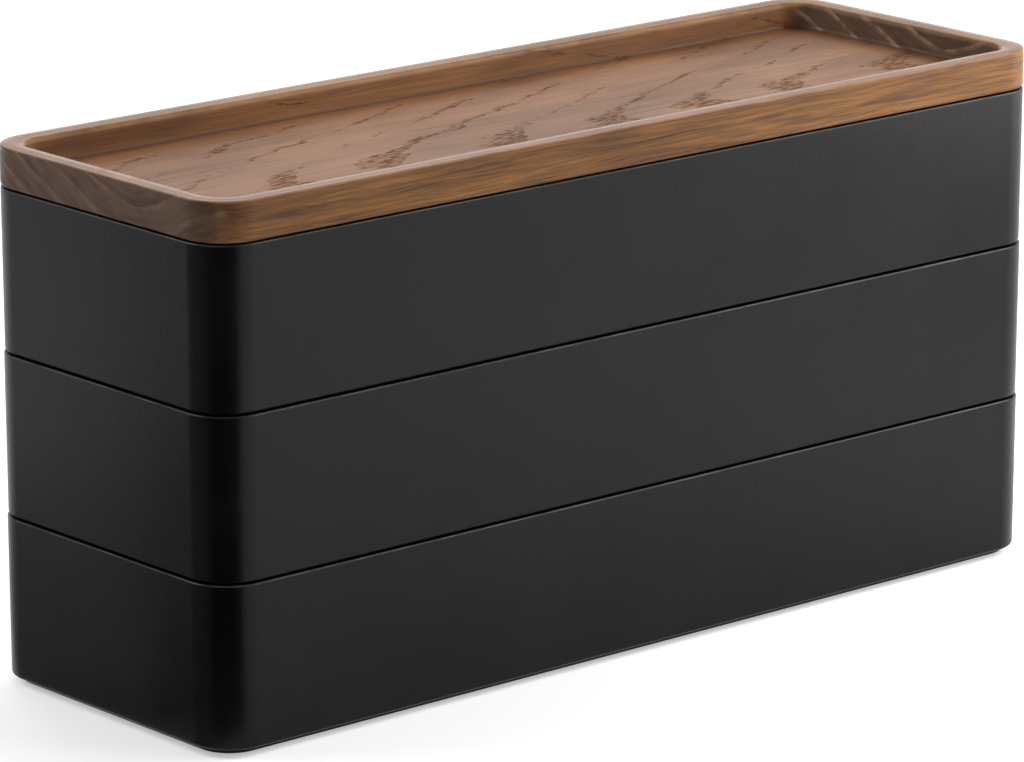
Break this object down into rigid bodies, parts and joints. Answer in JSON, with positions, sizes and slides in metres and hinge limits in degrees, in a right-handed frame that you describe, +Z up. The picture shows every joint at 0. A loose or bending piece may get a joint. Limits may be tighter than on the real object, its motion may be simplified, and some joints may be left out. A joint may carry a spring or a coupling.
{
  "type": "stacking jewelry box",
  "caption": "Long narrow jewelry box of stacked black trays with rounded corners under a stained wooden lid tray, with felt linings, ring rolls and sliding dividers inside.",
  "frame": {"origin": "middle of the footprint, on the plane that the foot pads stand on", "axes": "+X along the length to the right, +Y across the width to the back, +Z up through the stack"},
  "size_m": [0.245, 0.082, 0.122],
  "materials": {
    "tray_plastic": "satin black moulding with a very fine grain",
    "lid_wood": "walnut-stained ring-porous wood, oiled to a low sheen, grain along the length",
    "lining_felt": "pressed charcoal felt",
    "roll_suede": "short-napped grey suede cloth over foam",
    "divider_plastic": "satin black moulding",
    "pad_silicone": "matte dark silicone"
  },
  "bodies": {
    "lower": {"lower_tray": "tray_plastic", "lower_lining": "lining_felt", "foot_pad_front_left": "pad_silicone", "foot_pad_front_right": "pad_silicone", "foot_pad_back_left": "pad_silicone", "foot_pad_back_right": "pad_silicone"},
    "middle": {"middle_tray": "tray_plastic", "middle_lining": "lining_felt"},
    "upper": {"upper_tray": "tray_plastic", "upper_lining": "lining_felt", "ring_roll_1": "roll_suede", "ring_roll_2": "roll_suede", "ring_roll_3": "roll_suede", "ring_roll_4": "roll_suede", "ring_roll_5": "roll_suede", "ring_roll_6": "roll_suede"},
    "lid": {"lid_tray": "lid_wood"},
    "lower_divider_1": {"lower_divider_1": "divider_plastic"},
    "middle_divider_1": {"middle_divider_1": "divider_plastic"},
    "middle_divider_2": {"middle_divider_2": "divider_plastic"},
    "middle_divider_3": {"middle_divider_3": "divider_plastic"},
    "upper_divider_1": {"upper_divider_1": "divider_plastic"},
    "upper_divider_2": {"upper_divider_2": "divider_plastic"}
  },
  "joints": [
    {"name": "middle_tray_lift", "type": "slide", "parent": "lower", "child": "middle", "axis": [0, 0, 1], "range_m": [0, 0.08]},
    {"name": "upper_tray_lift", "type": "slide", "parent": "middle", "child": "upper", "axis": [0, 0, 1], "range_m": [0, 0.08]},
    {"name": "lid_lift", "type": "slide", "parent": "upper", "child": "lid", "axis": [0, 0, 1], "range_m": [0, 0.08]},
    {"name": "lower_divider_1_slide", "type": "slide", "parent": "lower", "child": "lower_divider_1", "axis": [1, 0, 0], "range_m": [-0.1, 0.1]},
    {"name": "middle_divider_1_slide", "type": "slide", "parent": "middle", "child": "middle_divider_1", "axis": [1, 0, 0], "range_m": [-0.045, 0.02]},
    {"name": "middle_divider_2_slide", "type": "slide", "parent": "middle", "child": "middle_divider_2", "axis": [1, 0, 0], "range_m": [-0.02, 0.02]},
    {"name": "middle_divider_3_slide", "type": "slide", "parent": "middle", "child": "middle_divider_3", "axis": [1, 0, 0], "range_m": [-0.02, 0.04]},
    {"name": "upper_divider_1_slide", "type": "slide", "parent": "upper", "child": "upper_divider_1", "axis": [1, 0, 0], "range_m": [0, 0.035]},
    {"name": "upper_divider_2_slide", "type": "slide", "parent": "upper", "child": "upper_divider_2", "axis": [1, 0, 0], "range_m": [-0.02, 0.045]}
  ]
}
